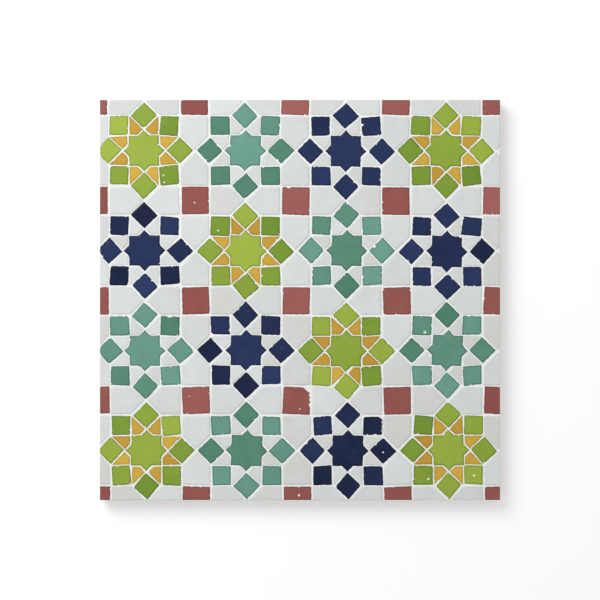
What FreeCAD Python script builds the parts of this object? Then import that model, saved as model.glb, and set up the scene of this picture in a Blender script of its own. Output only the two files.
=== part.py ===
"""A square panel of hand-cut glazed mosaic in the Moroccan manner, ready to be bedded on a wall or floor.

Eight-pointed stars stand on a square grid. Each star has eight small squares round it, four on its axes and
four on its diagonals, and a kite between each pair of neighbouring squares. A larger red square stands where
four rosettes meet, and arrow-headed white pieces run from it along the four sides of the grid. Every piece is
cut from a glazed clay slab and chiselled back underneath, so that only its face comes close to its neighbours.
The pieces stand in white grout, a little proud of it, on a bed of mortar that is the panel's back.

All lengths are in millimetres. X runs to the right and Y up the panel as it is looked at, and Z out of its
glazed face. The origin is the centre of the panel's back.
"""

import FreeCAD
import Part

import itertools
import math
import os
from collections import defaultdict

import Sketcher

Vector = FreeCAD.Vector
Placement = FreeCAD.Placement
Rotation = FreeCAD.Rotation

# Driving dimensions: alias, value, what it is
SIZES = [
    ("rosette_pitch", 100.0, "from one rosette's centre to the next"),
    ("rosette_columns", 4, "rosettes across the panel"),
    ("rosette_rows", 4, "rosettes up the panel"),
    ("pattern_shift_x", -4.0, "how far the pattern stands right of the panel's centre"),
    ("pattern_shift_y", -1.0, "how far the pattern stands above the panel's centre"),
    ("joint_width", 2.0, "between two neighbouring pieces"),
    ("star_upright_excess", 0.7, "the star's upright square is this much wider than the drawn one"),
    ("star_tilted_shortfall", 1.6, "the star's tilted square is this much narrower than the drawn one"),
    ("star_joint", 1.3, "from the star's flats to the kites"),
    ("kite_setback", 0.6, "a kite's sides stand in from the drawn lines, less than half a joint"),
    ("chip_thickness", 10.0, "glazed clay, face to back"),
    ("back_bevel", 8.0, "degrees that a piece's sides are chiselled in behind its face"),
    ("grout_recess", 0.4, "the grout's surface below the glazed faces"),
    ("bed_thickness", 10.0, "mortar behind the pieces"),
]

# The drawn lines of the pattern and what follows from them, as expressions of the sheet's cells
SQUARE_MODULE = "Sizes.rosette_pitch / (2 + 2 * sqrt(2))"
RED_MODULE = f"sqrt(2) * {SQUARE_MODULE}"
UPRIGHT_SQUARE = f"{RED_MODULE} + Sizes.star_upright_excess"
TILTED_SQUARE = f"{RED_MODULE} - Sizes.star_tilted_shortfall"
FACE_LEVEL = "Sizes.bed_thickness + Sizes.chip_thickness"
PANEL_WIDTH = "Sizes.rosette_pitch * Sizes.rosette_columns"
PANEL_HEIGHT = "Sizes.rosette_pitch * Sizes.rosette_rows"

ROSETTE_COLOURS = ("lime", "sea_green", "navy")
KITE_COLOURS = {"lime": "amber", "sea_green": "white", "navy": "white"}

EIGHTH_TURN = 45.0
QUARTER_TURN = 90.0
KITE_HALF_ANGLE = 22.5
SQUARES_ROUND_A_STAR = 8
ARROWS_ROUND_A_RED = 4

# A face looks up, or is a side, as its normal's rise is over or under this
SAME_DIRECTION = 0.5

# The numbers that sketch constraints use for the parts of a line and for the axes
START, END = 1, 2
ORIGIN_POINT = (-1, 1)
X_AXIS = -1


def make_sheet(doc):
    """The spreadsheet that holds the driving dimensions."""
    sheet = doc.addObject("Spreadsheet::Sheet", "Sizes")
    for row, (alias, value, note) in enumerate(SIZES, start=1):
        sheet.set(f"A{row}", alias)
        sheet.set(f"B{row}", str(value))
        sheet.set(f"C{row}", note)
        sheet.setAlias(f"B{row}", alias)
    doc.recompute()
    return sheet


def face_sketch(body, name, turn=0.0):
    """An empty sketch on the level of the glazed faces, turned about the vertical."""
    xy_plane = next(f for f in body.Origin.OriginFeatures if f.Role == "XY_Plane")
    sketch = body.newObject("Sketcher::SketchObject", name)
    sketch.AttachmentSupport = [(xy_plane, "")]
    sketch.MapMode = "FlatFace"
    sketch.AttachmentOffset = Placement(Vector(), Rotation(Vector(0, 0, 1), turn))
    sketch.setExpression("AttachmentOffset.Base.z", FACE_LEVEL)
    return sketch


def closed_outline(sketch, corners):
    """Draws straight lines from corner to corner and back to the first, joined end to end."""
    count = len(corners)
    for here, there in zip(corners, corners[1:] + corners[:1]):
        sketch.addGeometry(Part.LineSegment(Vector(*here, 0), Vector(*there, 0)), False)
    for line in range(count):
        sketch.addConstraint(Sketcher.Constraint("Coincident", line, END, (line + 1) % count, START))


def worth(thing, expression):
    """What an expression of the sheet's cells comes to now."""
    return float(thing.evalExpression(expression))


def bind(sketch, name, expression, kind, *ends):
    """Adds a named dimension that follows the sheet."""
    index = sketch.addConstraint(Sketcher.Constraint(kind, *ends, worth(sketch, expression)))
    sketch.renameConstraint(index, name)
    sketch.setExpression(f"Constraints.{name}", expression)


def draw_square(sketch, side):
    """A square about the sketch's origin."""
    half = worth(sketch, side) / 2
    closed_outline(sketch, [(-half, -half), (half, -half), (half, half), (-half, half)])
    for line in (0, 2):
        sketch.addConstraint(Sketcher.Constraint("Horizontal", line))
    for line in (1, 3):
        sketch.addConstraint(Sketcher.Constraint("Vertical", line))
    sketch.addConstraint(Sketcher.Constraint("Equal", 0, 1))
    sketch.addConstraint(Sketcher.Constraint("Symmetric", 0, START, 2, START, *ORIGIN_POINT))
    bind(sketch, "side", side, "DistanceX", 0, START, 0, END)


def clay_behind(body, sketch, name):
    """Takes a face's outline straight back through the clay."""
    pad = body.newObject("PartDesign::Pad", name)
    pad.Profile = sketch
    pad.Reversed = True
    pad.Refine = True
    pad.setExpression("Length", "Sizes.chip_thickness")
    return pad


def chisel_sides(doc, body, clay):
    """Leans every side of the piece in towards its back, and leaves the glazed face as it is."""
    doc.recompute()
    upward = {f"Face{number}": face.normalAt(0, 0).z for number, face in enumerate(clay.Shape.Faces, start=1)}
    draft = body.newObject("PartDesign::Draft", f"{body.Name}_chiselled")
    draft.Base = (clay, [face for face, lift in upward.items() if abs(lift) < SAME_DIRECTION])
    draft.NeutralPlane = (clay, [face for face, lift in upward.items() if lift > SAME_DIRECTION])
    draft.Reversed = True
    draft.setExpression("Angle", "Sizes.back_bevel")


def square_chip(doc, name, side):
    body = doc.addObject("PartDesign::Body", name)
    sketch = face_sketch(body, f"{name}_face")
    draw_square(sketch, side)
    chisel_sides(doc, body, clay_behind(body, sketch, f"{name}_clay"))
    return body


def star_chip(doc, name):
    """Two squares, one upright and one tilted by an eighth of a turn, that share a centre."""
    body = doc.addObject("PartDesign::Body", name)
    upright = face_sketch(body, f"{name}_upright_square")
    draw_square(upright, UPRIGHT_SQUARE)
    clay_behind(body, upright, f"{name}_upright_clay")
    tilted = face_sketch(body, f"{name}_tilted_square", EIGHTH_TURN)
    draw_square(tilted, TILTED_SQUARE)
    chisel_sides(doc, body, clay_behind(body, tilted, f"{name}_tilted_clay"))
    return body


def kite_chip(doc, name):
    """The piece between an axial and a diagonal square, drawn along X with the star's centre at the origin.

    Its two sides follow the squares and meet at the tip. Its two short ends follow the star, at right angles
    to the sides, and meet at the heel.
    """
    squares_meet = f"2 * {SQUARE_MODULE} * cos({KITE_HALF_ANGLE} deg)"
    tip = f"{squares_meet} - Sizes.kite_setback / sin({KITE_HALF_ANGLE} deg)"
    heel = f"(({UPRIGHT_SQUARE}) / 2 + Sizes.star_joint) / cos({KITE_HALF_ANGLE} deg)"
    body = doc.addObject("PartDesign::Body", name)
    sketch = face_sketch(body, f"{name}_face")
    tip_x, heel_x = worth(sketch, tip), worth(sketch, heel)
    lean = math.radians(KITE_HALF_ANGLE)
    side = (tip_x - heel_x) * math.cos(lean)
    wide_x, wide_y = tip_x - side * math.cos(lean), side * math.sin(lean)
    closed_outline(sketch, [(tip_x, 0.0), (wide_x, wide_y), (heel_x, 0.0), (wide_x, -wide_y)])
    upper_side, upper_end, lower_end = range(3)
    for line in (upper_side, lower_end):
        sketch.addConstraint(Sketcher.Constraint("PointOnObject", line, START, X_AXIS))
    sketch.addConstraint(Sketcher.Constraint("Symmetric", upper_side, END, lower_end, END, X_AXIS))
    sketch.addConstraint(Sketcher.Constraint("Perpendicular", upper_side, upper_end))
    sketch.addConstraint(Sketcher.Constraint("Angle", upper_side, math.radians(180.0 - KITE_HALF_ANGLE)))
    bind(sketch, "tip", tip, "DistanceX", *ORIGIN_POINT, upper_side, START)
    bind(sketch, "heel", heel, "DistanceX", *ORIGIN_POINT, lower_end, START)
    chisel_sides(doc, body, clay_behind(body, sketch, f"{name}_clay"))
    return body


def arrow_chip(doc, name):
    """The white piece along a side of the grid, drawn along X with a red square's centre at the origin."""
    near = f"({RED_MODULE} + Sizes.joint_width) / 2"
    point = "(Sizes.rosette_pitch - sqrt(2) * Sizes.joint_width) / 2"
    width = f"{RED_MODULE} - Sizes.joint_width"
    body = doc.addObject("PartDesign::Body", name)
    sketch = face_sketch(body, f"{name}_face")
    near_x, point_x, half = worth(sketch, near), worth(sketch, point), worth(sketch, width) / 2
    shoulder_x = point_x - half
    corners = [(near_x, -half), (shoulder_x, -half), (point_x, 0.0), (shoulder_x, half), (near_x, half)]
    closed_outline(sketch, corners)
    right_side, right_slope, left_slope, left_side, base = range(5)
    for line in (right_side, left_side):
        sketch.addConstraint(Sketcher.Constraint("Horizontal", line))
    sketch.addConstraint(Sketcher.Constraint("Symmetric", base, START, base, END, X_AXIS))
    sketch.addConstraint(Sketcher.Constraint("PointOnObject", right_slope, END, X_AXIS))
    sketch.addConstraint(Sketcher.Constraint("Perpendicular", right_slope, left_slope))
    sketch.addConstraint(Sketcher.Constraint("Equal", right_slope, left_slope))
    bind(sketch, "near", near, "DistanceX", *ORIGIN_POINT, base, END)
    bind(sketch, "point", point, "DistanceX", *ORIGIN_POINT, right_slope, END)
    bind(sketch, "width", width, "DistanceY", base, END, base, START)
    chisel_sides(doc, body, clay_behind(body, sketch, f"{name}_clay"))
    return body


def turned_about(centre, angle, reach=0.0):
    """A placement at a distance from a centre, in the direction of an angle, and turned by that angle."""
    turn = Rotation(Vector(0, 0, 1), angle)
    return Placement(centre + turn.multVec(Vector(reach, 0, 0)), turn)


def pattern_point(sheet, columns_in, rows_down):
    """A point of the pattern, counted in pitches from its top left corner."""
    x = (columns_in - sheet.rosette_columns / 2) * sheet.rosette_pitch + sheet.pattern_shift_x
    y = (sheet.rosette_rows / 2 - rows_down) * sheet.rosette_pitch + sheet.pattern_shift_y
    return Vector(x, y, 0)


def rosette_colour(column, row):
    """The three colours take turns along a row, and each row starts one colour back from the row above."""
    return ROSETTE_COLOURS[(column - row) % len(ROSETTE_COLOURS)]


def rosette_places(sheet, layout, column, row):
    """One rosette: its star, the squares round it, and the kites between them."""
    colour = rosette_colour(column, row)
    centre = pattern_point(sheet, column + 0.5, row + 0.5)
    square_reach = worth(sheet, SQUARE_MODULE) * (1 + math.sqrt(0.5))
    layout[f"{colour}_stars"].append(("star", turned_about(centre, 0.0)))
    for step in range(SQUARES_ROUND_A_STAR):
        angle = step * EIGHTH_TURN
        square = turned_about(centre, angle, square_reach)
        corner_inwards = Placement(Vector(), Rotation(Vector(0, 0, 1), EIGHTH_TURN))
        layout[f"{colour}_squares"].append(("square", square * corner_inwards))
        kite = turned_about(centre, angle + KITE_HALF_ANGLE)
        layout[f"{KITE_COLOURS[colour]}_kites"].append(("kite", kite))


def corner_places(sheet, layout, column, row):
    """Where four rosettes meet: the red square and the arrows that point away from it."""
    centre = pattern_point(sheet, column, row)
    layout["red_squares"].append(("red_square", turned_about(centre, 0.0)))
    for step in range(ARROWS_ROUND_A_RED):
        layout["white_arrows"].append(("arrow", turned_about(centre, step * QUARTER_TURN)))


def mosaic_layout(sheet):
    """Which piece lies where, for each node: the node's name to a list of (piece, placement)."""
    layout = defaultdict(list)
    columns, rows = math.ceil(sheet.rosette_columns), math.ceil(sheet.rosette_rows)
    for column, row in itertools.product(range(columns), range(rows)):
        rosette_places(sheet, layout, column, row)
    for column, row in itertools.product(range(columns + 1), range(rows + 1)):
        corner_places(sheet, layout, column, row)
    return layout


def lay_pieces(doc, name, places, chips, panel):
    """Sets copies of the cut pieces in their places, and saws off what stands past the panel's outline."""
    whole, sawn = [], []
    for kind, place in places:
        piece = chips[kind].Shape.copy()
        piece.Placement = place * piece.Placement
        fits = panel.BoundBox.isInside(piece.BoundBox)
        (whole if fits else sawn).extend(piece.Solids)
    if sawn:
        whole += panel.common(sawn).Solids
    node = doc.addObject("Part::Feature", name)
    node.Shape = Part.makeCompound(whole)
    return node


def block(doc, name, bottom, thickness):
    """A rectangular block as wide and high as the panel, from a level up."""
    box = doc.addObject("Part::Box", name)
    box.setExpression("Length", PANEL_WIDTH)
    box.setExpression("Width", PANEL_HEIGHT)
    box.setExpression("Height", thickness)
    box.setExpression("Placement.Base.x", f"-({PANEL_WIDTH}) / 2")
    box.setExpression("Placement.Base.y", f"-({PANEL_HEIGHT}) / 2")
    box.setExpression("Placement.Base.z", bottom)
    return box


def fill_joints(doc, filling, mosaic):
    """The grout that fills every joint down to the bed: a slab with the pieces taken out of it."""
    grout = doc.addObject("Part::Feature", "grout")
    grout.Shape = filling.cut([piece for node in mosaic for piece in node.Shape.Solids])
    return grout


def check(doc, nodes):
    """Stops the build if any object has failed or a node isn't made of sound solids."""
    failed = [o.Label for o in doc.Objects if {"Invalid", "Error"} & set(o.State)]
    unsound = [n.Label for n in nodes if n.Shape.isNull() or not n.Shape.isValid() or not n.Shape.Solids]
    if failed or unsound:
        raise RuntimeError(f"failed objects: {failed}; unsound nodes: {unsound}")


def main():
    doc = FreeCAD.newDocument("mosaic_panel")
    sheet = make_sheet(doc)
    chips = {
        "star": star_chip(doc, "star_chip"),
        "square": square_chip(doc, "square_chip", f"{SQUARE_MODULE} - Sizes.joint_width"),
        "red_square": square_chip(doc, "red_square_chip", f"{RED_MODULE} - Sizes.joint_width"),
        "kite": kite_chip(doc, "kite_chip"),
        "arrow": arrow_chip(doc, "arrow_chip"),
    }
    panel = block(doc, "panel_outline", "0", FACE_LEVEL)
    bed = block(doc, "mortar_bed", "0", "Sizes.bed_thickness")
    filling = block(doc, "joint_filling", "Sizes.bed_thickness", "Sizes.chip_thickness - Sizes.grout_recess")
    doc.recompute()
    layout = mosaic_layout(sheet)
    mosaic = [lay_pieces(doc, name, places, chips, panel.Shape) for name, places in sorted(layout.items())]
    grout = fill_joints(doc, filling.Shape, mosaic)
    nodes = [bed, grout, *mosaic]
    check(doc, nodes)
    os.makedirs("parts", exist_ok=True)
    for node in nodes:
        node.Shape.exportStep(f"parts/{node.Label}.step")
        print(f"{node.Label}: {len(node.Shape.Solids)} solids, {node.Shape.Volume / 1000:.1f} cm3")


main()
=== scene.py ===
"""Dresses the glazed mosaic panel.

Every chip is cut again from the face of its own drawn piece, with the wander, the nicks, the knocked corners and
the rolled glaze edge of hand work. The grout creeps up to the chips, and the mortar bed is cast and rough.
Lengths are in metres, in the panel's own frame: X right and Y up the pattern, Z out of the glaze.
"""

import math
import random

import bmesh
import bpy
import numpy as np
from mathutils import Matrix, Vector, noise


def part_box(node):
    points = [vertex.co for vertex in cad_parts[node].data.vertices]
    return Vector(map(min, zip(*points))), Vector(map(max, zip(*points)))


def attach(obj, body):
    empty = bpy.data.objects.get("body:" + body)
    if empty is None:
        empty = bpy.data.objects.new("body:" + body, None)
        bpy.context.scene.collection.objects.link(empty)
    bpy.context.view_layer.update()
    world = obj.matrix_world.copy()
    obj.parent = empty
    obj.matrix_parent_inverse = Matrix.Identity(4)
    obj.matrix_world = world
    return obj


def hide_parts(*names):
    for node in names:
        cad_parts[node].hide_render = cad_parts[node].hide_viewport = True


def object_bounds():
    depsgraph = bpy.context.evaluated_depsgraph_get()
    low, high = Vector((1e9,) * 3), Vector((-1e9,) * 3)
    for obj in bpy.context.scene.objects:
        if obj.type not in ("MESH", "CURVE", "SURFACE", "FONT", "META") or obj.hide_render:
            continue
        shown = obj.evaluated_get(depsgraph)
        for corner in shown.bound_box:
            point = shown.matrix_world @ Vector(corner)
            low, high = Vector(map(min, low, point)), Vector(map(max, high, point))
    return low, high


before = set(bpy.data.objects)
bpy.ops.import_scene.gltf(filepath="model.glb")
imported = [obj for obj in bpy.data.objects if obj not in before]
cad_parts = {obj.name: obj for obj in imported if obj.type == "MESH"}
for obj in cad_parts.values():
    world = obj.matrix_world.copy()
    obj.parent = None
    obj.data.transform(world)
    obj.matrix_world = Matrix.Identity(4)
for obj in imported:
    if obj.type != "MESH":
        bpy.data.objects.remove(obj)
drawn_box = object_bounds()

MM = 0.001
BACK, GLAZE_LEVEL = drawn_box[0].z, drawn_box[1].z
HALF_WIDTH, HALF_HEIGHT = drawn_box[1].x, drawn_box[1].y
BED_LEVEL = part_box("mortar_bed")[1].z
GROUT_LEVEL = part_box("grout")[1].z

# Which glaze each node's chips have, and how they are cut
CHIPS = {
    "lime_stars": ("lime_glaze", "star"),
    "lime_squares": ("lime_glaze", "square"),
    "amber_kites": ("amber_glaze", "kite"),
    "sea_green_stars": ("sea_green_glaze", "star"),
    "sea_green_squares": ("sea_green_glaze", "square"),
    "navy_stars": ("navy_glaze", "star"),
    "navy_squares": ("navy_glaze", "square"),
    "white_kites": ("white_glaze", "kite"),
    "white_arrows": ("white_glaze", "arrow"),
    "red_squares": ("red_glaze", "red"),
}

# Per cut: widest mesh of the face, splits of each rim edge, how much fuller than drawn it is left,
# how far out from its rosette it is pushed, how far its place, its turn in degrees and its size stray,
# how blunt its tips come off the chisel, how far they are drawn out, and the span of its tones
CUTS = {
    "star": {
        "cell": 1.40 * MM, "splits": 1, "fuller": 0.22 * MM, "push": 0.0,
        "drift": 0.25 * MM, "turn": 1.6, "size": 0.014, "blunt": 0.3, "keen": 0.3 * MM, "tones": (0.0, 0.50),
    },
    "square": {
        "cell": 1.30 * MM, "splits": 2, "fuller": 0.16 * MM, "push": 0.0,
        "drift": 0.28 * MM, "turn": 2.3, "size": 0.036, "blunt": 1.6, "keen": 0.0, "tones": (0.0, 1.0),
    },
    "kite": {
        "cell": 1.60 * MM, "splits": 2, "fuller": 0.36 * MM, "push": 0.15 * MM,
        "drift": 0.15 * MM, "turn": 1.5, "size": 0.018, "blunt": 0.7, "keen": 0.2 * MM, "tones": (0.0, 1.0),
    },
    "arrow": {
        "cell": 1.45 * MM, "splits": 1, "fuller": 0.36 * MM, "push": 0.0,
        "drift": 0.15 * MM, "turn": 0.6, "size": 0.007, "blunt": 1.0, "keen": 0.0, "tones": (0.0, 1.0),
    },
    "red": {
        "cell": 1.40 * MM, "splits": 1, "fuller": 0.12 * MM, "push": 0.0,
        "drift": 0.45 * MM, "turn": 1.5, "size": 0.014, "blunt": 1.0, "keen": 0.0, "tones": (0.0, 1.0),
    },
}

# How the setter's lines lean off the drawn ones: an even shift, and what each metre across and up the panel adds
LEAN_SHIFT = np.array([0.15 * MM, 0.35 * MM])
LEAN_ACROSS = np.array([0.0062, -0.0012])
LEAN_UP = np.array([-0.0062, -0.0022])

# How far in from the panel's sawn sides the chips are held to their drawn places
SAWN_HOLD = 5.0 * MM

# How far a whole rosette strays, and how near two chips may lie. A chip that would lie nearer is trimmed to fit.
ROSETTE_DRIFT = 0.50 * MM
LEAST_JOINT = 0.80 * MM

# How much further out a star's four narrow points are cut than drawn
STAR_REACH = 0.9 * MM

# Stars whose glaze came out of the kiln deeper than their fellows', counted from the left, and their span of tones
DEEP_STARS = {"sea_green_stars": (1, 3), "navy_stars": (2, 4)}
DEEP_TONES = (0.55, 0.80)

# The rosettes' spacing and the middle of one of them
PITCH = HALF_WIDTH / 2
ROSETTE_MIDDLE = np.array([-54.0 * MM, -51.0 * MM])

# The band of fine mesh just inside a face's rim, so that only the very edge looks rolled
RIM_BAND = 0.20 * MM

# The rim in steps down the side: how deep each lies, and how far it stands in from the cut outline
STEP_DEPTHS = (0.0, 0.15 * MM, 0.75 * MM)
STEP_INSETS = (0.07 * MM, 0.0, 0.05 * MM, 1.40 * MM)
NICK_SHARES = (1.0, 0.85, 0.35, 0.0)

# Rims broken in the photo: the middle of each break, from the panel's centre, and how far it reaches
BREAKS = {
    "red_squares": [
        (15.5 * MM, -79.0 * MM, 14.2 * MM),
        (11.2 * MM, -93.8 * MM, 2.3 * MM),
        (10.9 * MM, -98.6 * MM, 1.6 * MM),
        (11.2 * MM, -104.2 * MM, 2.0 * MM),
        (-12.2 * MM, 113.8 * MM, 2.1 * MM),
    ],
    "navy_squares": [
        (83.8 * MM, -113.4 * MM, 5.9 * MM),
        (81.6 * MM, -122.3 * MM, 1.8 * MM),
        (81.2 * MM, -126.2 * MM, 1.3 * MM),
        (81.6 * MM, -129.8 * MM, 1.8 * MM),
        (75.2 * MM, -136.1 * MM, 1.8 * MM),
        (81.3 * MM, 121.0 * MM, 1.5 * MM),
    ],
    "lime_squares": [(60.9 * MM, -72.7 * MM, 1.2 * MM)],
}

# The share of its width that what a break has pushed aside keeps
BREAK_EDGE = 0.03

# Spots where the glaze has flaked off a face: where, and how wide
FLAKES = [
    (62.0 * MM, 176.0 * MM, 1.3 * MM),
    (73.5 * MM, 53.5 * MM, 1.7 * MM),
    (125.0 * MM, -32.0 * MM, 1.4 * MM),
    (128.0 * MM, -179.0 * MM, 1.2 * MM),
    (174.0 * MM, -176.0 * MM, 1.3 * MM),
    (83.0 * MM, -152.0 * MM, 0.9 * MM),
    (-136.0 * MM, 125.0 * MM, 0.9 * MM),
    (-136.0 * MM, 118.0 * MM, 0.9 * MM),
    (-82.0 * MM, 70.0 * MM, 1.1 * MM),
    (-106.0 * MM, 97.0 * MM, 0.8 * MM),
    (-110.5 * MM, -96.0 * MM, 0.6 * MM),
    (-1.5 * MM, -195.0 * MM, 1.1 * MM),
    (0.5 * MM, -108.5 * MM, 0.6 * MM),
]


def glazed_outlines(node):
    """The face of every chip of a node, as its corners in order round it, always listed the same way."""
    bm = bmesh.new()
    bm.from_mesh(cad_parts[node].data)
    bmesh.ops.remove_doubles(bm, verts=bm.verts, dist=0.001 * MM)
    below = [face for face in bm.faces if face.calc_center_median().z < GLAZE_LEVEL - 0.01 * MM]
    bmesh.ops.delete(bm, geom=below, context="FACES")
    bmesh.ops.dissolve_limit(bm, angle_limit=math.radians(1.0), verts=bm.verts, edges=bm.edges)
    outlines = []
    for face in bm.faces:
        corners = [vert.co.copy() for vert in face.verts]
        first = min(range(len(corners)), key=lambda c: (round(corners[c].x, 5), round(corners[c].y, 5)))
        outlines.append(corners[first:] + corners[:first])
    bm.free()
    return sorted(outlines, key=lambda corners: (round(corners[0].x, 5), round(corners[0].y, 5)))


def is_tip(outline, corner):
    """Whether a corner points outwards, and isn't one of a star's hollows."""
    before, here, after = (outline[(corner + step) % len(outline)] for step in (-1, 0, 1))
    return (here - before).cross(after - here).z > 0


def longer_points(star):
    """A star's outline with its four narrow points cut further out. Every fourth corner is such a point."""
    middle = sum(star, Vector()) / len(star)
    longer = []
    for number, corner in enumerate(star):
        if number % 4 == 0:
            aim = corner - middle
        elif number % 4 == 2:
            aim = Vector()
        else:
            aim = star[number - number % 4 + 2] - corner
        longer.append(corner + aim.normalized() * STAR_REACH)
    return longer


def face_of_quads(outline, cell, splits):
    """A chip's face: one quad for each tip, with the face's middle as its far corner, each cut into a grid."""
    bm = bmesh.new()
    corners = [bm.verts.new(corner) for corner in outline]
    bm.faces.new(corners)
    tips = [vert for number, vert in enumerate(corners) if is_tip(outline, number)]
    if len(tips) == len(corners):
        bmesh.ops.subdivide_edges(bm, edges=bm.edges[:], cuts=1)
    longest = max(edge.calc_length() for edge in bm.edges)
    middle = bmesh.ops.poke(bm, faces=bm.faces[:])["verts"][0]
    spokes = [edge for edge in middle.link_edges if edge.other_vert(middle) in tips]
    bmesh.ops.dissolve_edges(bm, edges=spokes, use_verts=False)
    cuts = max(1, round(longest / cell) - 1)
    bmesh.ops.subdivide_edges(bm, edges=bm.edges[:], cuts=cuts, use_grid_fill=True)
    rim = [edge for edge in bm.edges if edge.is_boundary]
    bmesh.ops.subdivide_edges(bm, edges=rim, cuts=splits)
    bmesh.ops.inset_region(bm, faces=bm.faces[:], thickness=RIM_BAND, use_even_offset=True)
    return bm


def hang_sides(bm):
    """Takes the rim down in steps and closes the back. Returns each vertex's step, 0 on the face."""
    steps = {vert: 0 for vert in bm.verts}
    rim = [edge for edge in bm.edges if edge.is_boundary]
    for step in range(1, len(STEP_INSETS)):
        made = bmesh.ops.extrude_edge_only(bm, edges=rim)["geom"]
        for item in made:
            if isinstance(item, bmesh.types.BMVert):
                steps[item] = step
        rim = [item for item in made if isinstance(item, bmesh.types.BMEdge) and item.is_boundary]
    bmesh.ops.edgeloop_fill(bm, edges=rim)
    bm.verts.index_update()
    return np.array([steps[vert] for vert in bm.verts])


def along_outline(points, outline):
    """Each point's distance to the outline, the way out from it there, and how far round it that is."""
    start = np.array([corner[:2] for corner in outline])
    side = np.roll(start, -1, axis=0) - start
    length = np.linalg.norm(side, axis=1)
    way_out = np.stack([side[:, 1], -side[:, 0]], axis=1) / length[:, None]
    reach = points[:, None, :] - start[None]
    share = np.clip((reach * side).sum(2) / length**2, 0, 1)
    gap = np.linalg.norm(reach - share[:, :, None] * side, axis=2)
    nearest = gap.argmin(axis=1)
    weight = np.exp(-(gap - gap.min(axis=1)[:, None]) / (0.5 * MM))
    normal = weight @ way_out
    normal /= np.maximum(np.linalg.norm(normal, axis=1), 1e-9)[:, None]
    round_it = np.cumsum(length)[nearest] - length[nearest] + share[np.arange(len(points)), nearest] * length[nearest]
    return gap.min(axis=1), normal, round_it


def ripple(place, total, wave, rng):
    """A closed uneven line about nought: a few sines that go a whole number of times round."""
    line = np.zeros_like(place)
    for _ in range(5):
        turns = max(1, round(total / wave * rng.uniform(0.6, 1.6)))
        line += rng.uniform(0.4, 1.0) * np.sin(2 * math.pi * (turns * place / total + rng.random()))
    return line / 2.5


def bumps(place, total, centres, widths, heights):
    """Separate rises along a closed line."""
    line = np.zeros_like(place)
    for centre, width, height in zip(centres, widths, heights):
        off = np.abs(place - centre)
        off = np.minimum(off, total - off)
        line += height * np.exp(-((off / width) ** 2))
    return line


def hand_cut(place, outline, cut, rng):
    """How far the chisel falls inside the drawn outline, and how much of that is nicks.

    Tips are knocked off a little, or drawn out keen. The hollows of a star are left a little full, where the
    chisel can't reach.
    """
    ends = np.cumsum([(after - here).length for here, after in zip(outline, outline[1:] + outline[:1])])
    total = ends[-1]
    wander = 0.17 * MM * ripple(place, total, 9.0 * MM, rng) + 0.10 * MM * ripple(place, total, 2.6 * MM, rng)
    corners = [0.0, *ends[:-1]]
    tips = [is_tip(outline, number) for number in range(len(outline))]
    knocked = [rng.choice((0.2, 0.3, 0.5, 1.1)) * rng.random() if tip else rng.uniform(0.0, 0.45) for tip in tips]
    widths = [rng.uniform(0.5, 1.2) if tip else rng.uniform(0.6, 1.4) for tip in tips]
    sinks = [cut["blunt"] * loss * MM - cut["keen"] if tip else -loss * MM for loss, tip in zip(knocked, tips)]
    worked = bumps(place, total, corners, np.array(widths) * MM, sinks)
    count = rng.choice((0, 1, 1, 2, 2, 3, 4))
    centres = [rng.uniform(0, total) for _ in range(count)]
    widths = [rng.uniform(0.35, 0.9) * MM for _ in range(count)]
    nicks = bumps(place, total, centres, widths, [rng.uniform(0.15, 0.6) * MM for _ in range(count)])
    return wander + worked, nicks


def push_off(points, breaks):
    """Moves points that lie within a break out to its edge, in their order. Returns them and which ones moved."""
    moved = np.zeros(len(points), bool)
    for x, y, reach in breaks:
        away = points - (x, y)
        far = np.linalg.norm(away, axis=1)
        hit = far < reach
        edge = reach + BREAK_EDGE * (far - reach)
        points = np.where(hit[:, None], (x, y) + away * (edge / np.maximum(far, 1e-9))[:, None], points)
        moved |= hit
    return points, moved


def uneven_turn(points, middle, cut, rng):
    """Turns, stretches and skews a chip about its middle, as the hand that cut and laid it did."""
    angle = math.radians(cut["turn"]) * max(-2.0, min(2.0, rng.gauss(0, 1)))
    spread = cut["size"]
    turn = np.array([[math.cos(angle), -math.sin(angle)], [math.sin(angle), math.cos(angle)]])
    stretch = np.array(
        [
            [1 + rng.uniform(-1, 1) * spread, rng.uniform(-1, 1) * spread],
            [rng.uniform(-1, 1) * spread, 1 + rng.uniform(-1, 1) * spread],
        ]
    )
    off = (points - middle) @ (turn @ stretch).T
    reach = np.abs(off).max()
    warp = np.array([rng.uniform(-1, 1), rng.uniform(-1, 1)]) * spread
    off = off * (1 + warp * off[:, ::-1] / reach)
    drift = np.array([rng.uniform(-1, 1), rng.uniform(-1, 1)]) * cut["drift"]
    return middle + drift + off


def lean(place):
    """How far the setter's lines have wandered off at a place."""
    return LEAN_SHIFT + LEAN_ACROSS * place[0] + LEAN_UP * place[1]


def as_drawn(spots):
    """Spots seen on the laid panel, taken back to where their chips are drawn."""
    return [(*(np.array([x, y]) - lean((x, y))), reach) for x, y, reach in spots]


def rosette_shift(middle, cut_name):
    """How far a chip is laid off its place with its whole rosette. The ground between rosettes stays."""
    if cut_name in ("arrow", "red"):
        return np.zeros(2)
    cell = np.round((middle - ROSETTE_MIDDLE) / PITCH).astype(int)
    rng = random.Random(f"rosette {cell[0]} {cell[1]}")
    stray = np.array([rng.uniform(-1, 1), rng.uniform(-1, 1)]) * ROSETTE_DRIFT
    way_out = middle - ROSETTE_MIDDLE - cell * PITCH
    return stray + CUTS[cut_name]["push"] * way_out / max(np.linalg.norm(way_out), MM)


def refine_flakes(bm, flakes):
    """Splits the mesh of the face where the glaze has flaked, finely enough to carry the pit."""
    for x, y, wide in flakes:
        spot = Vector((x, y, GLAZE_LEVEL))
        edges = [edge for edge in bm.edges if any((vert.co - spot).length < 2 * wide for vert in edge.verts)]
        bmesh.ops.subdivide_edges(bm, edges=edges, cuts=3, use_grid_fill=True)


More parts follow.
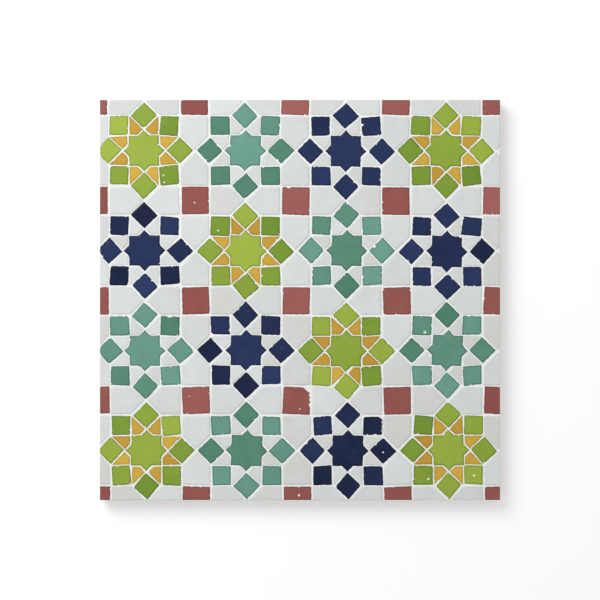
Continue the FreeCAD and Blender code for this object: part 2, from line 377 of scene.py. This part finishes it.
def inside(point, outline):
    """Whether a point lies inside an outline."""
    crossings = 0
    for here, after in zip(outline, outline[1:] + outline[:1]):
        if (here.y > point[1]) != (after.y > point[1]):
            crossings += point[0] < here.x + (point[1] - here.y) / (after.y - here.y) * (after.x - here.x)
    return crossings % 2 == 1


def meet_chips(points, rims):
    """How far each point is from the nearest chip, less than nought inside one, and how high its rim is there."""
    distance = np.full(len(points), 1.0)
    level = np.full(len(points), GROUT_LEVEL)
    for rim in rims:
        corners = rim[:, :2]
        low, high = corners.min(axis=0) - 3 * MM, corners.max(axis=0) + 3 * MM
        local = np.where(((points > low) & (points < high)).all(axis=1))[0]
        spots = points[local]
        side = np.roll(corners, -1, axis=0) - corners
        reach = spots[:, None, :] - corners[None]
        share = np.clip((reach * side).sum(2) / np.maximum((side**2).sum(1), 1e-18), 0, 1)
        gaps = np.linalg.norm(reach - share[:, :, None] * side, axis=2)
        above = corners[:, 1][None] > spots[:, 1][:, None]
        crosses = above != np.roll(above, -1, axis=1)
        rise = np.where(np.abs(side[:, 1]) < 1e-12, 1e-12, side[:, 1])
        cut_x = corners[:, 0] + (spots[:, 1][:, None] - corners[:, 1]) / rise * side[:, 0]
        within = (crosses & (spots[:, 0][:, None] < cut_x)).sum(axis=1) % 2 == 1
        gap = np.where(within, -1, 1) * gaps.min(axis=1)
        closer = gap < distance[local]
        distance[local[closer]] = gap[closer]
        level[local[closer]] = rim[gaps.argmin(axis=1)[closer], 2]
    return distance, level


def cut_chip(outline, cut_name, breaks, rims, rng):
    """One chip. Returns its mesh, what its material reads, and its rim as the grout meets it."""
    cut = CUTS[cut_name]
    flakes = [flake for flake in as_drawn(FLAKES) if inside(flake, outline)]
    bm = face_of_quads(outline, cut["cell"], cut["splits"])
    refine_flakes(bm, flakes)
    steps = hang_sides(bm)
    drawn = np.array([vert.co[:] for vert in bm.verts])
    flat = drawn[:, :2]
    gap, normal, place = along_outline(flat, outline)
    inset, nicks = hand_cut(place, outline, cut, rng)
    sunk = np.array(STEP_INSETS)[steps] + np.array(NICK_SHARES)[steps] * nicks
    sunk = sunk + np.where(steps < 3, inset - cut["fuller"], 0.3 * MM)
    cut_flat = flat - normal * (sunk * np.exp(-((gap / (1.3 * MM)) ** 2)))[:, None]
    cut_flat, broken = push_off(cut_flat, as_drawn(breaks))
    middle = np.array([sum(corner[axis] for corner in outline) / len(outline) for axis in (0, 1)])
    laid = uneven_turn(cut_flat, middle, cut, rng) + rosette_shift(middle, cut_name) + lean(middle)
    rim = np.where(steps == 1)[0]
    rim = rim[np.argsort(place[rim])]
    crowding = np.clip(LEAST_JOINT - meet_chips(laid[rim], rims)[0], 0, None)
    trim = np.interp(place, place[rim], crowding) * np.exp(-((gap / (2 * MM)) ** 2))
    laid = laid - normal * trim[:, None]
    for axis, half in enumerate((HALF_WIDTH, HALF_HEIGHT)):
        free = np.clip((half - np.abs(flat[:, axis])) / SAWN_HOLD, 0, 1)
        laid[:, axis] = flat[:, axis] + free * (laid[:, axis] - flat[:, axis])
    seed = Vector((rng.uniform(0, 99), rng.uniform(0, 99), 0))
    swell = np.array([noise.noise(Vector((x * 95, y * 95, 0)) + seed) for x, y in laid]) * 0.09 * MM
    tilt = (laid - middle) @ np.array([rng.gauss(0, 0.003), rng.gauss(0, 0.003)])
    lift = swell + tilt
    lift = np.maximum(lift - lift.max(), -0.16 * MM) - 0.04 * MM * np.exp(-gap / (0.5 * MM))
    pits = np.zeros(len(laid))
    for x, y, wide in flakes:
        ragged = np.array([noise.noise(Vector((a * 700, b * 700, x * 900))) for a, b in flat])
        off = np.linalg.norm(flat - (x, y), axis=1) / wide * (1 + 0.5 * ragged)
        pits = np.maximum(pits, np.where(steps == 0, np.clip(1 - off**2, 0, 1), 0))
    lift -= 0.35 * MM * np.sqrt(pits) + rng.uniform(0.0, 0.06) * MM
    depth = np.array([*STEP_DEPTHS, 0.0])[steps]
    height = np.where(steps < 3, GLAZE_LEVEL - depth + lift, BED_LEVEL)
    for vert, (x, y), z in zip(bm.verts, laid, height):
        vert.co = (x, y, z)
    bare = np.clip(np.maximum((nicks / (0.30 * MM)) ** 2 * (gap < 0.2 * MM), pits * 2.2), 0, 1)
    bare = np.maximum(bare, broken & (gap < 0.2 * MM))
    for face in bm.faces:
        deepest = max(steps[vert.index] for vert in face.verts)
        face.material_index = int(deepest == 3)
        face.smooth = bool(deepest < 2)
    mesh = bpy.data.meshes.new("chip")
    bm.to_mesh(mesh)
    bm.free()
    rim_line = np.column_stack([laid, height + STEP_DEPTHS[1]])[rim]
    return mesh, {"rim_mm": np.minimum(gap / MM, 5.0), "bare": bare}, rim_line


def lay_chips(node, slot, cut_name, rims, finishes):
    """All the chips of a node, as one piece that stands for it. Adds their rims to those already laid."""
    whole = bmesh.new()
    reads = {"rim_mm": [], "bare": [], "tone": []}
    for number, outline in enumerate(glazed_outlines(node)):
        if cut_name == "star":
            outline = longer_points(outline)
        rng = random.Random(f"{node} {number}")
        mesh, values, rim = cut_chip(outline, cut_name, BREAKS.get(node, []), rims, rng)
        tones = DEEP_TONES if number in DEEP_STARS.get(node, ()) else CUTS[cut_name]["tones"]
        values["tone"] = np.full(len(mesh.vertices), rng.uniform(*tones))
        whole.from_mesh(mesh)
        bpy.data.meshes.remove(mesh)
        rims.append(rim)
        for name, value in values.items():
            reads[name].append(value)
    piece = finished_piece(f"{node}_laid", whole, [finishes[slot], finishes["clay"]], node)
    for name, values in reads.items():
        attribute = piece.data.attributes.new(name, "FLOAT", "POINT")
        attribute.data.foreach_set("value", np.concatenate(values).astype(np.float32))


def finished_piece(name, bm, materials, node):
    """Makes a piece of a mesh, in place of a drawn node."""
    mesh = bpy.data.meshes.new(name)
    bm.to_mesh(mesh)
    bm.free()
    for material in materials:
        mesh.materials.append(material)
    piece = bpy.data.objects.new(name, mesh)
    bpy.context.scene.collection.objects.link(piece)
    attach(piece, "root")
    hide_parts(node)
    return piece


def pour_grout(rims, finishes):
    """The grout: a sheet wiped a little hollow between the chips and flush with their rims, down to the mortar."""
    cells = 500
    bm = bmesh.new()
    bmesh.ops.create_grid(bm, x_segments=cells, y_segments=cells, size=HALF_WIDTH - 0.04 * MM)
    points = np.array([vert.co[:2] for vert in bm.verts])
    distance, level = meet_chips(points, rims)
    creep = np.exp(-np.maximum(distance, 0) / (0.6 * MM))
    sand = np.array([noise.noise(Vector((x * 900, y * 900, 3))) for x, y in points])
    slump = np.array([noise.noise(Vector((x * 60, y * 60, 8))) for x, y in points])
    wiped = GROUT_LEVEL - 0.02 * MM + 0.04 * MM * slump
    height = wiped + (level - 0.05 * MM - wiped) * creep + 0.03 * MM * sand
    for vert, z in zip(bm.verts, height):
        vert.co.z = z
    bm.verts.index_update()
    hidden = [face for face in bm.faces if max(distance[vert.index] for vert in face.verts) < -0.6 * MM]
    beds = bmesh.ops.dissolve_faces(bm, faces=hidden, use_verts=True)["region"]
    bmesh.ops.poke(bm, faces=beds, offset=-1.0 * MM)
    rim = [edge for edge in bm.edges if edge.is_boundary]
    for level in (GROUT_LEVEL - 1.5 * MM, GROUT_LEVEL - 4.5 * MM, BED_LEVEL - 0.05 * MM):
        made = bmesh.ops.extrude_edge_only(bm, edges=rim)["geom"]
        for item in made:
            if isinstance(item, bmesh.types.BMVert):
                item.co.z = level
        rim = [item for item in made if isinstance(item, bmesh.types.BMEdge) and item.is_boundary]
    bmesh.ops.edgeloop_fill(bm, edges=rim)
    for face in bm.faces:
        face.smooth = abs(face.normal.z) > 0.5
    return finished_piece("grout_poured", bm, [finishes["grout"]], "grout")


def cast_mortar(finishes):
    """The mortar bed: cast in a frame, so its sides are flat but open in places, and its back is smooth."""
    bm = bmesh.new()
    bmesh.ops.create_grid(bm, x_segments=1, y_segments=1, size=HALF_WIDTH)
    for face in bm.faces:
        face.normal_flip()
    bmesh.ops.translate(bm, verts=bm.verts, vec=(0, 0, BACK))
    bmesh.ops.subdivide_edges(bm, edges=[edge for edge in bm.edges if edge.is_boundary], cuts=319)
    rim = [edge for edge in bm.edges if edge.is_boundary]
    courses = 8
    for course in range(1, courses + 1):
        made = bmesh.ops.extrude_edge_only(bm, edges=rim)["geom"]
        for item in made:
            if isinstance(item, bmesh.types.BMVert):
                item.co.z = BACK + (BED_LEVEL - BACK) * course / courses
        rim = [item for item in made if isinstance(item, bmesh.types.BMEdge) and item.is_boundary]
    bmesh.ops.edgeloop_fill(bm, edges=rim)
    for vert in bm.verts:
        spot = vert.co * 140
        grain = abs(noise.noise(spot)) * 0.25 * MM + max(0.0, noise.noise(spot * 2.3) - 0.35) * 2.2 * MM
        edge = max(0.0, 1.2 * MM - abs(vert.co.z - BACK)) * 0.35
        draw = grain + edge
        vert.co.x -= math.copysign(draw, vert.co.x) if abs(vert.co.x) > HALF_WIDTH - 0.01 * MM else 0
        vert.co.y -= math.copysign(draw, vert.co.y) if abs(vert.co.y) > HALF_HEIGHT - 0.01 * MM else 0
    bmesh.ops.recalc_face_normals(bm, faces=bm.faces)
    return finished_piece("mortar_bed_cast", bm, [finishes["mortar"]], "mortar_bed")


class Nodes:
    """Puts shader nodes in a tree and joins them."""

    def __init__(self, tree):
        self.tree = tree

    def add(self, kind, settings=None, **inputs):
        """A node with its settings and inputs. An input is a value or another node's output."""
        node = self.tree.nodes.new(kind)
        for name, value in (settings or {}).items():
            setattr(node, name, value)
        for name, value in inputs.items():
            self.feed(node.inputs[name.replace("_", " ")], value)
        return node

    def feed(self, socket, value):
        if isinstance(value, bpy.types.NodeSocket):
            self.tree.links.new(value, socket)
        else:
            socket.default_value = value

    def sum(self, operation, first, second=0.0, clamp=False):
        """A sum of two numbers or outputs."""
        node = self.tree.nodes.new("ShaderNodeMath")
        node.operation = operation
        node.use_clamp = clamp
        self.feed(node.inputs[0], first)
        self.feed(node.inputs[1], second)
        return node.outputs[0]

    def blend(self, share, first, second):
        """A mix of two colours."""
        node = self.tree.nodes.new("ShaderNodeMix")
        node.data_type = "RGBA"
        self.feed(node.inputs[0], share)
        self.feed(node.inputs[6], first)
        self.feed(node.inputs[7], second)
        return node.outputs[2]

    def shaded(self, colour, level):
        """A colour made lighter or darker by a factor."""
        node = self.add("ShaderNodeVectorMath", {"operation": "SCALE"}, Scale=level)
        self.feed(node.inputs[0], colour)
        return node.outputs["Vector"]

    def ramp(self, value, low, high, start=0.0, end=1.0):
        """A value taken from one range to another, and held at its ends."""
        node = self.tree.nodes.new("ShaderNodeMapRange")
        for number, item in enumerate((value, low, high, start, end)):
            self.feed(node.inputs[number], item)
        return node.outputs[0]

    def cloud(self, where, size, detail=3.0):
        """Soft noise whose patches are about this many metres across."""
        return self.add("ShaderNodeTexNoise", Vector=where, Scale=1 / size, Detail=detail).outputs[0]

    def cells(self, where, size, feature="F1"):
        """Cells about this many metres across. Returns the distance in them and their chance colour."""
        node = self.add("ShaderNodeTexVoronoi", {"feature": feature}, Vector=where, Scale=1 / size)
        return node.outputs["Distance"], node.outputs.get("Color")


def shared_group(name, takes, gives):
    """An empty node group with its named inputs and outputs. Returns it, its tree helper and its ends."""
    group = bpy.data.node_groups.new(name, "ShaderNodeTree")
    for title, kind in takes:
        group.interface.new_socket(title, in_out="INPUT", socket_type=kind)
    for title, kind in gives:
        group.interface.new_socket(title, in_out="OUTPUT", socket_type=kind)
    nodes = Nodes(group)
    return group, nodes, nodes.add("NodeGroupInput").outputs, nodes.add("NodeGroupOutput").inputs


COLOUR, NUMBER, PLACE = "NodeSocketColor", "NodeSocketFloat", "NodeSocketVector"


def glaze_skin():
    """Hand-brushed glaze: clouded, pricked with pinholes, darker near the rim, and gone where it is nicked."""
    takes = [
        ("Where", PLACE), ("Light", COLOUR), ("Deep", COLOUR), ("Body", COLOUR),
        ("Tone", NUMBER), ("Rim", NUMBER), ("Bare", NUMBER), ("Mottle", NUMBER), ("Speck", NUMBER),
        ("Pooled", NUMBER),
    ]
    gives = [("Colour", COLOUR), ("Roughness", NUMBER), ("Height", NUMBER)]
    group, nodes, given, out = shared_group("glaze skin", takes, gives)
    where = given["Where"]
    soft = nodes.cloud(where, 14 * MM)
    fine = nodes.cloud(where, 1.6 * MM, 5.0)
    shade = nodes.sum("MULTIPLY", nodes.sum("SUBTRACT", soft, 0.5), given["Mottle"])
    share = nodes.sum("ADD", given["Tone"], shade, clamp=True)
    colour = nodes.blend(share, given["Light"], given["Deep"])
    speck = nodes.sum("MULTIPLY", nodes.ramp(fine, 0.30, 0.70, -1.0, 0.7), given["Speck"])
    # Darkens the colour by the given share up to 0.8 mm in from the rim, fading out by 1.8 mm.
    rim_darkening = nodes.sum("MULTIPLY", nodes.ramp(given["Rim"], 0.8, 1.8, 1.0, 0.0), given["Pooled"])
    colour = nodes.shaded(colour, nodes.sum("SUBTRACT", nodes.sum("ADD", speck, 1.0), rim_darkening))
    hole_gap, hole_chance = nodes.cells(where, 2.6 * MM)
    rare = nodes.add("ShaderNodeSeparateColor", Color=hole_chance).outputs[0]
    width = nodes.ramp(rare, 0.80, 1.0, 0.0, 0.11)
    pinhole = nodes.ramp(nodes.sum("SUBTRACT", width, hole_gap), 0.0, 0.03)
    ragged = nodes.sum("ADD", given["Rim"], nodes.ramp(fine, 0.3, 0.7, -0.20, 0.20))
    thin = nodes.ramp(ragged, 0.0, 0.22, 0.07, 0.0)
    open_body = nodes.ramp(nodes.sum("ADD", given["Bare"], nodes.ramp(fine, 0.3, 0.7, -0.25, 0.25)), 0.35, 0.55)
    worn = nodes.sum("MAXIMUM", open_body, nodes.sum("MAXIMUM", thin, nodes.sum("MULTIPLY", pinhole, 0.55)))
    nodes.feed(out["Colour"], nodes.blend(worn, colour, given["Body"]))
    gloss = nodes.ramp(soft, 0.3, 0.7, 0.20, 0.32)
    nodes.feed(out["Roughness"], nodes.sum("ADD", gloss, nodes.sum("MULTIPLY", worn, 0.45)))
    height = nodes.sum("ADD", nodes.sum("MULTIPLY", soft, 0.6), nodes.sum("MULTIPLY", fine, 0.06))
    nodes.feed(out["Height"], nodes.sum("SUBTRACT", height, nodes.sum("MULTIPLY", pinhole, 0.35)))
    return group


def gritty_skin():
    """Grain for clay, grout and mortar: patches, dust, and uneven grains, some dark and sunk and some pale."""
    takes = [
        ("Where", PLACE), ("Main", COLOUR), ("Stain", COLOUR), ("Sand", COLOUR), ("Chalk", COLOUR),
        ("Patch size", NUMBER), ("Grain size", NUMBER), ("Grain share", NUMBER),
    ]
    gives = [("Colour", COLOUR), ("Height", NUMBER)]
    group, nodes, given, out = shared_group("gritty skin", takes, gives)
    where = given["Where"]
    patch = nodes.cloud(where, 1.0)
    nodes.feed(patch.node.inputs["Scale"], nodes.sum("DIVIDE", 1.0, given["Patch size"]))
    colour = nodes.blend(nodes.ramp(patch, 0.35, 0.70), given["Main"], given["Stain"])
    scale = nodes.sum("DIVIDE", 1.0, given["Grain size"])
    shake = nodes.add("ShaderNodeTexNoise", Vector=where, Scale=scale, Detail=3.0).outputs["Color"]
    bent = nodes.add("ShaderNodeVectorMath", {"operation": "MULTIPLY_ADD"})
    for number, value in enumerate((shake, (1.4 * MM, 1.4 * MM, 1.4 * MM), where)):
        nodes.feed(bent.inputs[number], value)
    grain_gap, grain_chance = nodes.cells(bent.outputs["Vector"], 1.0)
    nodes.feed(grain_gap.node.inputs["Scale"], scale)
    chance = nodes.add("ShaderNodeSeparateColor", Color=grain_chance).outputs
    width = nodes.ramp(chance[1], 0.0, 1.0, 0.08, 0.50)
    grain = nodes.ramp(nodes.sum("SUBTRACT", width, grain_gap), 0.0, 0.12)
    grain = nodes.sum("MULTIPLY", grain, nodes.sum("LESS_THAN", chance[0], given["Grain share"]))
    dark = nodes.sum("LESS_THAN", chance[2], 0.55)
    colour = nodes.blend(grain, colour, nodes.blend(dark, given["Chalk"], given["Sand"]))
    dust = nodes.cloud(where, 0.5 * MM, 4.0)
    nodes.feed(out["Colour"], nodes.shaded(colour, nodes.ramp(dust, 0.3, 0.7, 0.92, 1.05)))
    sunk = nodes.sum("MULTIPLY", grain, nodes.ramp(dark, 0.0, 1.0, -0.3, 0.6))
    nodes.feed(out["Height"], nodes.sum("SUBTRACT", nodes.sum("MULTIPLY", dust, 0.6), sunk))
    return group


def new_material(name):
    """A material with an empty tree. Returns it with its helper, its surface shader and where it reads from."""
    material = bpy.data.materials.new(name)
    material.use_nodes = True
    material.node_tree.nodes.clear()
    nodes = Nodes(material.node_tree)
    shader = nodes.add("ShaderNodeBsdfPrincipled")
    end = nodes.add("ShaderNodeOutputMaterial")
    nodes.feed(end.inputs["Surface"], shader.outputs[0])
    return material, nodes, shader, nodes.add("ShaderNodeTexCoord").outputs["Object"]


def use_group(nodes, group, **inputs):
    """Places a shared group and feeds its inputs."""
    node = nodes.tree.nodes.new("ShaderNodeGroup")
    node.node_tree = group
    for name, value in inputs.items():
        nodes.feed(node.inputs[name.replace("_", " ")], value)
    return node.outputs


def glazed(name, group, light, deep, body, mottle, speck, rim_darkening, shine):
    """One colour of glaze."""
    material, nodes, shader, where = new_material(name)
    reads = {
        title: nodes.add("ShaderNodeAttribute", {"attribute_name": title}).outputs["Fac"]
        for title in ("tone", "rim_mm", "bare")
    }
    skin = use_group(
        nodes, group, Where=where, Light=light, Deep=deep, Body=body,
        Tone=reads["tone"], Rim=reads["rim_mm"], Bare=reads["bare"], Mottle=mottle, Speck=speck, Pooled=rim_darkening,
    )
    bump = nodes.add("ShaderNodeBump", Strength=0.5, Distance=0.12 * MM, Height=skin["Height"])
    nodes.feed(shader.inputs["Base Color"], skin["Colour"])
    nodes.feed(shader.inputs["Roughness"], skin["Roughness"])
    nodes.feed(shader.inputs["Normal"], bump.outputs[0])
    shader.inputs["Specular IOR Level"].default_value = shine
    return material


def gritty(name, group, roughness, relief, **inputs):
    """A dull grainy finish: clay, grout or mortar."""
    material, nodes, shader, where = new_material(name)
    skin = use_group(nodes, group, Where=where, **inputs)
    bump = nodes.add("ShaderNodeBump", Strength=0.8, Distance=relief, Height=skin["Height"])
    nodes.feed(shader.inputs["Base Color"], skin["Colour"])
    nodes.feed(shader.inputs["Normal"], bump.outputs[0])
    shader.inputs["Roughness"].default_value = roughness
    shader.inputs["Specular IOR Level"].default_value = 0.2
    return material


def tint(red, green, blue):
    """A colour as the eye reads it, 0 to 255, turned into light."""
    return tuple(((c / 255 + 0.055) / 1.055) ** 2.4 if c > 10 else c / 255 / 12.92 for c in (red, green, blue)) + (1.0,)


PALE_BODY = tint(234, 230, 221)
WHITE_BODY = tint(228, 226, 218)


def make_finishes():
    """Every finish of the panel, by the name of its slot."""
    glaze = glaze_skin()
    grit = gritty_skin()
    # In each glaze, the number before the last says how much its colour is darkened near the rim.
    return {
        "lime_glaze": glazed(
            "lime_glaze", glaze, tint(161, 184, 66), tint(109, 143, 38), PALE_BODY, 0.35, 0.06, 0.26, 0.25,
        ),
        "amber_glaze": glazed(
            "amber_glaze", glaze, tint(213, 176, 66), tint(191, 148, 48), PALE_BODY, 0.5, 0.07, 0.16, 0.25,
        ),
        "sea_green_glaze": glazed(
            "sea_green_glaze", glaze, tint(108, 160, 142), tint(70, 125, 101), PALE_BODY, 0.5, 0.06, 0.28, 0.25,
        ),
        "navy_glaze": glazed(
            "navy_glaze", glaze, tint(38, 54, 98), tint(9, 22, 56), PALE_BODY, 0.6, 0.12, 0.45, 0.15,
        ),
        "white_glaze": glazed(
            "white_glaze", glaze, tint(221, 226, 226), tint(212, 214, 210), WHITE_BODY, 1.3, 0.015, 0.02, 0.25,
        ),
        "red_glaze": glazed(
            "red_glaze", glaze, tint(163, 97, 91), tint(142, 75, 69), PALE_BODY, 0.6, 0.05, 0.22, 0.25,
        ),
        "clay": gritty(
            "fired_clay", grit, 0.85, 0.15 * MM, Main=tint(215, 200, 174), Stain=tint(205, 184, 152),
            Sand=tint(172, 150, 124), Chalk=tint(228, 216, 194),
            Patch_size=9 * MM, Grain_size=0.8 * MM, Grain_share=0.35,
        ),
        "grout": gritty(
            "white_grout", grit, 0.9, 0.10 * MM, Main=tint(245, 248, 247), Stain=tint(238, 240, 237),
            Sand=tint(225, 225, 219), Chalk=tint(250, 250, 249),
            Patch_size=25 * MM, Grain_size=0.6 * MM, Grain_share=0.25,
        ),
        "mortar": gritty(
            "cast_mortar", grit, 0.95, 0.30 * MM, Main=tint(176, 172, 163), Stain=tint(158, 153, 143),
            Sand=tint(126, 120, 110), Chalk=tint(196, 192, 184),
            Patch_size=30 * MM, Grain_size=1.1 * MM, Grain_share=0.50,
        ),
    }


def seen_directly(nodes):
    """One for what the camera sees straight on, in a mirror or through glass, and nought for plain light."""
    path = nodes.add("ShaderNodeLightPath").outputs
    seen = nodes.sum("ADD", path["Is Camera Ray"], path["Is Glossy Ray"])
    return nodes.sum("ADD", seen, path["Is Transmission Ray"], clamp=True)


def lay_floor():
    """A white floor that keeps the panel's shadow."""
    bm = bmesh.new()
    bmesh.ops.create_grid(bm, x_segments=1, y_segments=1, size=6.0)
    bmesh.ops.translate(bm, verts=bm.verts, vec=(0, 0, BACK - 0.2 * MM))
    mesh = bpy.data.meshes.new("floor")
    bm.to_mesh(mesh)
    bm.free()
    material, nodes, shader, _ = new_material("floor")
    shader.inputs["Base Color"].default_value = (0.80, 0.80, 0.80, 1.0)
    shader.inputs["Roughness"].default_value = 1.0
    shader.inputs["Specular IOR Level"].default_value = 0.0
    shader.inputs["Emission Color"].default_value = (1.0, 1.0, 1.0, 1.0)
    nodes.feed(shader.inputs["Emission Strength"], nodes.sum("MULTIPLY", seen_directly(nodes), 0.30))
    mesh.materials.append(material)
    floor = bpy.data.objects.new("floor", mesh)
    bpy.context.scene.collection.objects.link(floor)


def light_studio():
    """An even pale room, and one broad lamp up and to the left."""
    world = bpy.data.worlds.new("room")
    world.use_nodes = True
    nodes = Nodes(world.node_tree)
    room = world.node_tree.nodes["Background"]
    room.inputs["Color"].default_value = (1.0, 1.0, 1.0, 1.0)
    nodes.feed(room.inputs["Strength"], nodes.ramp(seen_directly(nodes), 0.0, 1.0, ROOM_LIGHT, 1.0))
    bpy.context.scene.world = world
    lamp = bpy.data.lights.new("broad_lamp", "AREA")
    lamp.shape = "DISK"
    lamp.size = 1.1
    lamp.energy = LAMP_WATTS
    holder = bpy.data.objects.new("broad_lamp", lamp)
    holder.location = LAMP_PLACE
    holder.rotation_euler = (-LAMP_PLACE).to_track_quat("-Z", "Y").to_euler()
    holder.visible_camera = False
    bpy.context.scene.collection.objects.link(holder)


ROOM_LIGHT = 0.58
LAMP_WATTS = 15.5
LAMP_PLACE = Vector((-0.75, 0.85, 1.25))

# The photo shows the 400 mm panel across 400 of its 600 pixels
PHOTO_PIXELS = 600
PANEL_PIXELS = 400


def set_camera():
    """Straight above the panel, as far up as shows it at the photo's scale."""
    lens = bpy.data.cameras.new("camera")
    lens.lens = 100.0
    camera = bpy.data.objects.new("camera", lens)
    view_width = 2 * HALF_WIDTH * PHOTO_PIXELS / PANEL_PIXELS
    camera.location = (0, 0, GLAZE_LEVEL + view_width * lens.lens / lens.sensor_width)
    bpy.context.scene.collection.objects.link(camera)
    bpy.context.scene.camera = camera
    bpy.context.scene.view_settings.view_transform = "Standard"


def main():
    finishes = make_finishes()
    rims = []
    for node, (slot, cut_name) in CHIPS.items():
        lay_chips(node, slot, cut_name, rims, finishes)
    pour_grout(rims, finishes)
    cast_mortar(finishes)
    lay_floor()
    light_studio()
    set_camera()


main()
